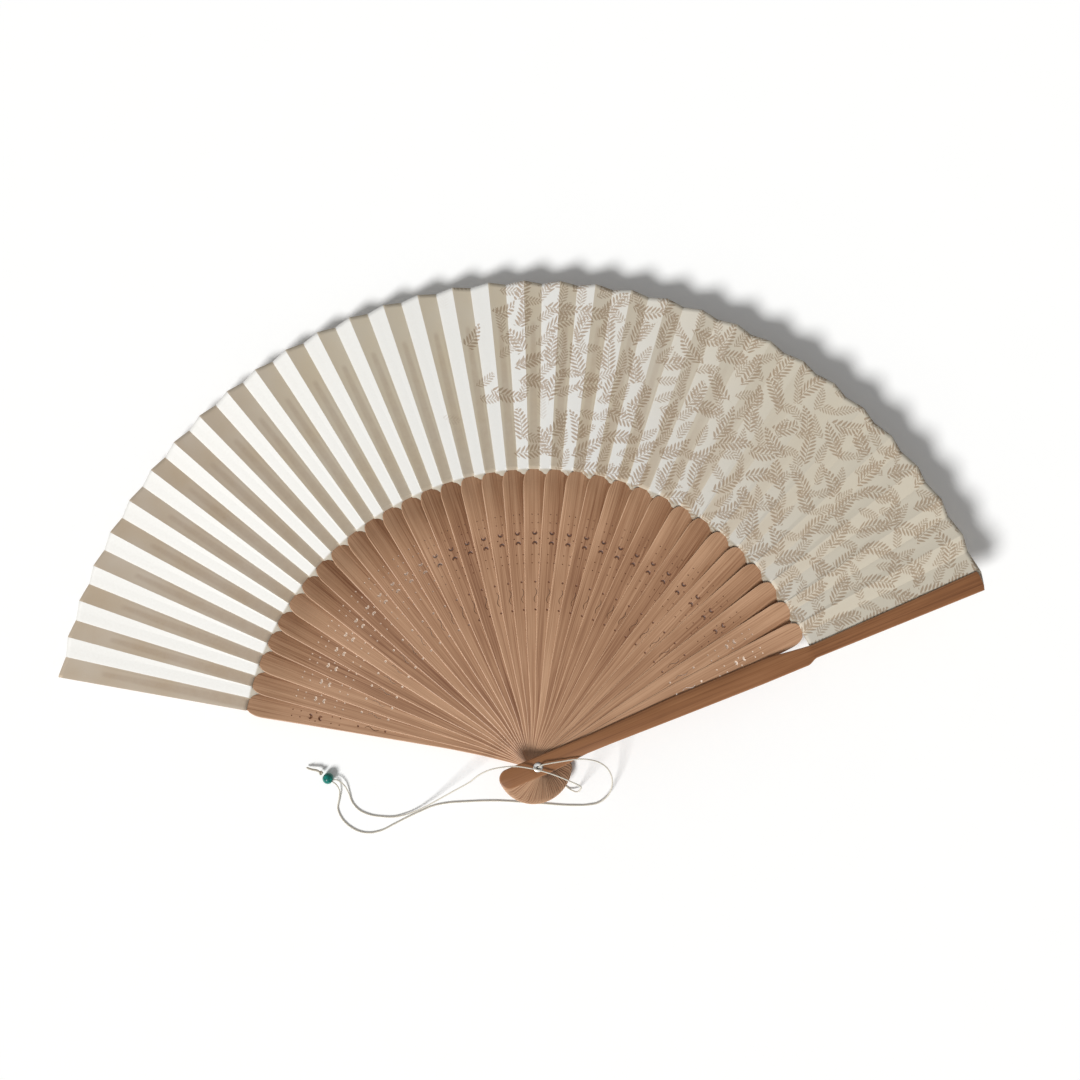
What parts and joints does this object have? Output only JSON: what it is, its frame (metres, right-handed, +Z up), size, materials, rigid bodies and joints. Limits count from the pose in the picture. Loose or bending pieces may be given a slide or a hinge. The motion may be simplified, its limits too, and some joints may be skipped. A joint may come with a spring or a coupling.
{
  "type": "folding hand fan",
  "caption": "Folding hand fan: pierced bamboo ribs and two guards turn on a hollow eyelet, a pleated paper leaf joins their slips, and a beaded wrist cord runs through the eyelet",
  "frame": {"origin": "under the middle of the open fan's box, at the height of the table that it lies on", "axes": "+X along the spread to the right guard's side, +Y from the pivot up the leaf, +Z up from the table along the pivot"},
  "size_m": [0.3732, 0.2242, 0.0219],
  "materials": {
    "rib_bamboo": "bamboo, sanded, fine lengthwise grain",
    "guard_bamboo": "darker bamboo, polished",
    "leaf_paper": "matt paper with a soft taupe print",
    "eyelet_metal": "polished plated metal",
    "bead_glaze": "glossy turquoise",
    "cord_fibre": "twisted pale cord"
  },
  "bodies": {
    "base": {"left_guard": "guard_bamboo", "leaf": "leaf_paper", "pivot_eyelet": "eyelet_metal", "pivot_washer": "eyelet_metal", "cord_strand_over": "cord_fibre", "cord_in_bore": "cord_fibre", "cord_strand_under": "cord_fibre", "bead": "bead_glaze", "cord_knot": "cord_fibre"},
    "upper_guard": {"right_guard": "guard_bamboo"},
    "rib_01_body": {"rib_01": "rib_bamboo"},
    "rib_02_body": {"rib_02": "rib_bamboo"},
    "rib_03_body": {"rib_03": "rib_bamboo"},
    "rib_04_body": {"rib_04": "rib_bamboo"},
    "rib_05_body": {"rib_05": "rib_bamboo"},
    "rib_06_body": {"rib_06": "rib_bamboo"},
    "rib_07_body": {"rib_07": "rib_bamboo"},
    "rib_08_body": {"rib_08": "rib_bamboo"},
    "rib_09_body": {"rib_09": "rib_bamboo"},
    "rib_10_body": {"rib_10": "rib_bamboo"},
    "rib_11_body": {"rib_11": "rib_bamboo"},
    "rib_12_body": {"rib_12": "rib_bamboo"},
    "rib_13_body": {"rib_13": "rib_bamboo"},
    "rib_14_body": {"rib_14": "rib_bamboo"},
    "rib_15_body": {"rib_15": "rib_bamboo"},
    "rib_16_body": {"rib_16": "rib_bamboo"},
    "rib_17_body": {"rib_17": "rib_bamboo"},
    "rib_18_body": {"rib_18": "rib_bamboo"},
    "rib_19_body": {"rib_19": "rib_bamboo"},
    "rib_20_body": {"rib_20": "rib_bamboo"},
    "rib_21_body": {"rib_21": "rib_bamboo"},
    "rib_22_body": {"rib_22": "rib_bamboo"},
    "rib_23_body": {"rib_23": "rib_bamboo"},
    "rib_24_body": {"rib_24": "rib_bamboo"},
    "rib_25_body": {"rib_25": "rib_bamboo"},
    "rib_26_body": {"rib_26": "rib_bamboo"},
    "rib_27_body": {"rib_27": "rib_bamboo"},
    "rib_28_body": {"rib_28": "rib_bamboo"},
    "rib_29_body": {"rib_29": "rib_bamboo"},
    "rib_30_body": {"rib_30": "rib_bamboo"},
    "rib_31_body": {"rib_31": "rib_bamboo"},
    "rib_32_body": {"rib_32": "rib_bamboo"},
    "rib_33_body": {"rib_33": "rib_bamboo"}
  },
  "joints": [
    {"name": "fold", "type": "hinge", "parent": "base", "child": "upper_guard", "pos_m": [0.00565, -0.08979, 0.01], "axis": [0, 0, 1], "range_deg": [0, 146], "deforming": ["leaf"]},
    {"name": "fold_rib_01", "type": "hinge", "parent": "base", "child": "rib_01_body", "pos_m": [0.00565, -0.08979, 0.01], "axis": [0, 0, 1], "range_deg": [0, 0.19]},
    {"name": "fold_rib_02", "type": "hinge", "parent": "base", "child": "rib_02_body", "pos_m": [0.00565, -0.08979, 0.01], "axis": [0, 0, 1], "range_deg": [0, 4.74]},
    {"name": "fold_rib_03", "type": "hinge", "parent": "base", "child": "rib_03_body", "pos_m": [0.00565, -0.08979, 0.01], "axis": [0, 0, 1], "range_deg": [0, 9.23]},
    {"name": "fold_rib_04", "type": "hinge", "parent": "base", "child": "rib_04_body", "pos_m": [0.00565, -0.08979, 0.01], "axis": [0, 0, 1], "range_deg": [0, 13.69]},
    {"name": "fold_rib_05", "type": "hinge", "parent": "base", "child": "rib_05_body", "pos_m": [0.00565, -0.08979, 0.01], "axis": [0, 0, 1], "range_deg": [0, 18.1]},
    {"name": "fold_rib_06", "type": "hinge", "parent": "base", "child": "rib_06_body", "pos_m": [0.00565, -0.08979, 0.01], "axis": [0, 0, 1], "range_deg": [0, 22.48]},
    {"name": "fold_rib_07", "type": "hinge", "parent": "base", "child": "rib_07_body", "pos_m": [0.00565, -0.08979, 0.01], "axis": [0, 0, 1], "range_deg": [0, 26.82]},
    {"name": "fold_rib_08", "type": "hinge", "parent": "base", "child": "rib_08_body", "pos_m": [0.00565, -0.08979, 0.01], "axis": [0, 0, 1], "range_deg": [0, 31.14]},
    {"name": "fold_rib_09", "type": "hinge", "parent": "base", "child": "rib_09_body", "pos_m": [0.00565, -0.08979, 0.01], "axis": [0, 0, 1], "range_deg": [0, 35.44]},
    {"name": "fold_rib_10", "type": "hinge", "parent": "base", "child": "rib_10_body", "pos_m": [0.00565, -0.08979, 0.01], "axis": [0, 0, 1], "range_deg": [0, 39.71]},
    {"name": "fold_rib_11", "type": "hinge", "parent": "base", "child": "rib_11_body", "pos_m": [0.00565, -0.08979, 0.01], "axis": [0, 0, 1], "range_deg": [0, 43.96]},
    {"name": "fold_rib_12", "type": "hinge", "parent": "base", "child": "rib_12_body", "pos_m": [0.00565, -0.08979, 0.01], "axis": [0, 0, 1], "range_deg": [0, 48.2]},
    {"name": "fold_rib_13", "type": "hinge", "parent": "base", "child": "rib_13_body", "pos_m": [0.00565, -0.08979, 0.01], "axis": [0, 0, 1], "range_deg": [0, 52.44]},
    {"name": "fold_rib_14", "type": "hinge", "parent": "base", "child": "rib_14_body", "pos_m": [0.00565, -0.08979, 0.01], "axis": [0, 0, 1], "range_deg": [0, 56.67]},
    {"name": "fold_rib_15", "type": "hinge", "parent": "base", "child": "rib_15_body", "pos_m": [0.00565, -0.08979, 0.01], "axis": [0, 0, 1], "range_deg": [0, 60.89]},
    {"name": "fold_rib_16", "type": "hinge", "parent": "base", "child": "rib_16_body", "pos_m": [0.00565, -0.08979, 0.01], "axis": [0, 0, 1], "range_deg": [0, 65.12]},
    {"name": "fold_rib_17", "type": "hinge", "parent": "base", "child": "rib_17_body", "pos_m": [0.00565, -0.08979, 0.01], "axis": [0, 0, 1], "range_deg": [0, 69.36]},
    {"name": "fold_rib_18", "type": "hinge", "parent": "base", "child": "rib_18_body", "pos_m": [0.00565, -0.08979, 0.01], "axis": [0, 0, 1], "range_deg": [0, 73.6]},
    {"name": "fold_rib_19", "type": "hinge", "parent": "base", "child": "rib_19_body", "pos_m": [0.00565, -0.08979, 0.01], "axis": [0, 0, 1], "range_deg": [0, 77.86]},
    {"name": "fold_rib_20", "type": "hinge", "parent": "base", "child": "rib_20_body", "pos_m": [0.00565, -0.08979, 0.01], "axis": [0, 0, 1], "range_deg": [0, 82.14]},
    {"name": "fold_rib_21", "type": "hinge", "parent": "base", "child": "rib_21_body", "pos_m": [0.00565, -0.08979, 0.01], "axis": [0, 0, 1], "range_deg": [0, 86.44]},
    {"name": "fold_rib_22", "type": "hinge", "parent": "base", "child": "rib_22_body", "pos_m": [0.00565, -0.08979, 0.01], "axis": [0, 0, 1], "range_deg": [0, 90.76]},
    {"name": "fold_rib_23", "type": "hinge", "parent": "base", "child": "rib_23_body", "pos_m": [0.00565, -0.08979, 0.01], "axis": [0, 0, 1], "range_deg": [0, 95.12]},
    {"name": "fold_rib_24", "type": "hinge", "parent": "base", "child": "rib_24_body", "pos_m": [0.00565, -0.08979, 0.01], "axis": [0, 0, 1], "range_deg": [0, 99.5]},
    {"name": "fold_rib_25", "type": "hinge", "parent": "base", "child": "rib_25_body", "pos_m": [0.00565, -0.08979, 0.01], "axis": [0, 0, 1], "range_deg": [0, 103.93]},
    {"name": "fold_rib_26", "type": "hinge", "parent": "base", "child": "rib_26_body", "pos_m": [0.00565, -0.08979, 0.01], "axis": [0, 0, 1], "range_deg": [0, 108.39]},
    {"name": "fold_rib_27", "type": "hinge", "parent": "base", "child": "rib_27_body", "pos_m": [0.00565, -0.08979, 0.01], "axis": [0, 0, 1], "range_deg": [0, 112.9]},
    {"name": "fold_rib_28", "type": "hinge", "parent": "base", "child": "rib_28_body", "pos_m": [0.00565, -0.08979, 0.01], "axis": [0, 0, 1], "range_deg": [0, 117.46]},
    {"name": "fold_rib_29", "type": "hinge", "parent": "base", "child": "rib_29_body", "pos_m": [0.00565, -0.08979, 0.01], "axis": [0, 0, 1], "range_deg": [0, 122.07]},
    {"name": "fold_rib_30", "type": "hinge", "parent": "base", "child": "rib_30_body", "pos_m": [0.00565, -0.08979, 0.01], "axis": [0, 0, 1], "range_deg": [0, 126.74]},
    {"name": "fold_rib_31", "type": "hinge", "parent": "base", "child": "rib_31_body", "pos_m": [0.00565, -0.08979, 0.01], "axis": [0, 0, 1], "range_deg": [0, 131.47]},
    {"name": "fold_rib_32", "type": "hinge", "parent": "base", "child": "rib_32_body", "pos_m": [0.00565, -0.08979, 0.01], "axis": [0, 0, 1], "range_deg": [0, 136.26]},
    {"name": "fold_rib_33", "type": "hinge", "parent": "base", "child": "rib_33_body", "pos_m": [0.00565, -0.08979, 0.01], "axis": [0, 0, 1], "range_deg": [0, 141.12]}
  ],
  "couplings": [
    {"joint": "fold_rib_01", "follows": "fold", "ratio": 0.000959},
    {"joint": "fold_rib_02", "follows": "fold", "ratio": 0.03209},
    {"joint": "fold_rib_03", "follows": "fold", "ratio": 0.062896},
    {"joint": "fold_rib_04", "follows": "fold", "ratio": 0.093402},
    {"joint": "fold_rib_05", "follows": "fold", "ratio": 0.12363},
    {"joint": "fold_rib_06", "follows": "fold", "ratio": 0.15362},
    {"joint": "fold_rib_07", "follows": "fold", "ratio": 0.18339},
    {"joint": "fold_rib_08", "follows": "fold", "ratio": 0.21296},
    {"joint": "fold_rib_09", "follows": "fold", "ratio": 0.24236},
    {"joint": "fold_rib_10", "follows": "fold", "ratio": 0.27162},
    {"joint": "fold_rib_11", "follows": "fold", "ratio": 0.30077},
    {"joint": "fold_rib_12", "follows": "fold", "ratio": 0.32983},
    {"joint": "fold_rib_13", "follows": "fold", "ratio": 0.35882},
    {"joint": "fold_rib_14", "follows": "fold", "ratio": 0.38778},
    {"joint": "fold_rib_15", "follows": "fold", "ratio": 0.41673},
    {"joint": "fold_rib_16", "follows": "fold", "ratio": 0.4457},
    {"joint": "fold_rib_17", "follows": "fold", "ratio": 0.47471},
    {"joint": "fold_rib_18", "follows": "fold", "ratio": 0.50379},
    {"joint": "fold_rib_19", "follows": "fold", "ratio": 0.53297},
    {"joint": "fold_rib_20", "follows": "fold", "ratio": 0.56226},
    {"joint": "fold_rib_21", "follows": "fold", "ratio": 0.59171},
    {"joint": "fold_rib_22", "follows": "fold", "ratio": 0.62133},
    {"joint": "fold_rib_23", "follows": "fold", "ratio": 0.65115},
    {"joint": "fold_rib_24", "follows": "fold", "ratio": 0.6812},
    {"joint": "fold_rib_25", "follows": "fold", "ratio": 0.7115},
    {"joint": "fold_rib_26", "follows": "fold", "ratio": 0.74208},
    {"joint": "fold_rib_27", "follows": "fold", "ratio": 0.77297},
    {"joint": "fold_rib_28", "follows": "fold", "ratio": 0.8042},
    {"joint": "fold_rib_29", "follows": "fold", "ratio": 0.83578},
    {"joint": "fold_rib_30", "follows": "fold", "ratio": 0.86775},
    {"joint": "fold_rib_31", "follows": "fold", "ratio": 0.90013},
    {"joint": "fold_rib_32", "follows": "fold", "ratio": 0.93294},
    {"joint": "fold_rib_33", "follows": "fold", "ratio": 0.96623}
  ]
}
